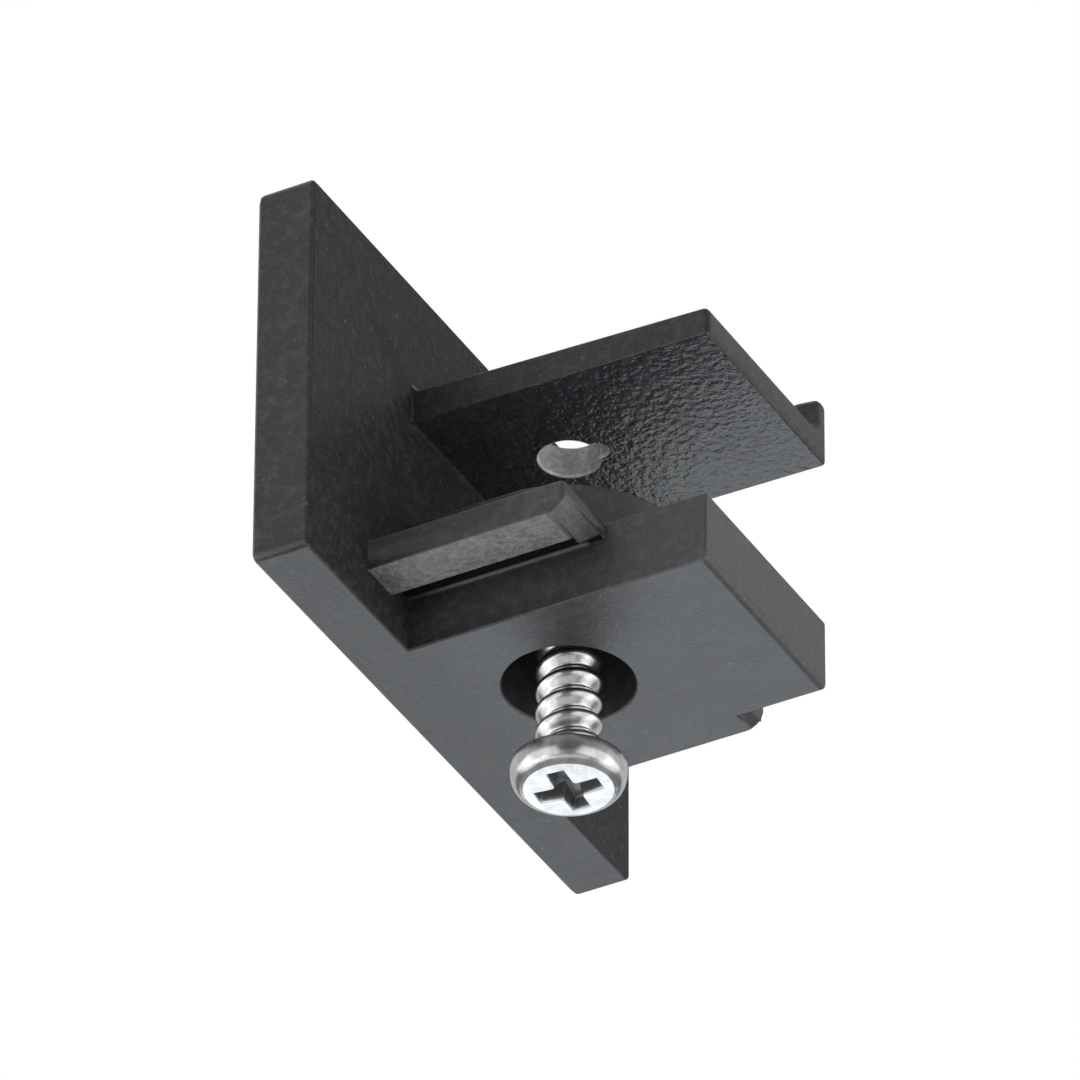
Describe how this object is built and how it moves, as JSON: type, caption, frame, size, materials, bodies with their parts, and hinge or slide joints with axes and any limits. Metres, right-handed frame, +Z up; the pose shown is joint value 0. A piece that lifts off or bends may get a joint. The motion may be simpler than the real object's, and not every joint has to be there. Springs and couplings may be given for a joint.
{
  "type": "track end cap",
  "caption": "End cap for an extruded lighting track: a closing plate with a flanged block and a tongue that enter the track, and a cross-recess fixing screw.",
  "frame": {"origin": "on the plate's inner face, at the middle of the width and at the level of the underside", "axes": "+X into the track, away from the plate; +Z up, from the flat block toward the tongue; +Y across the track, toward the edge with the key rib"},
  "size_m": [0.0209, 0.035, 0.0302],
  "materials": {
    "cap_plastic": "matte",
    "screw_steel": "bright"
  },
  "bodies": {
    "root": {"cap_body": "cap_plastic", "fixing_screw": "screw_steel"}
  },
  "joints": []
}
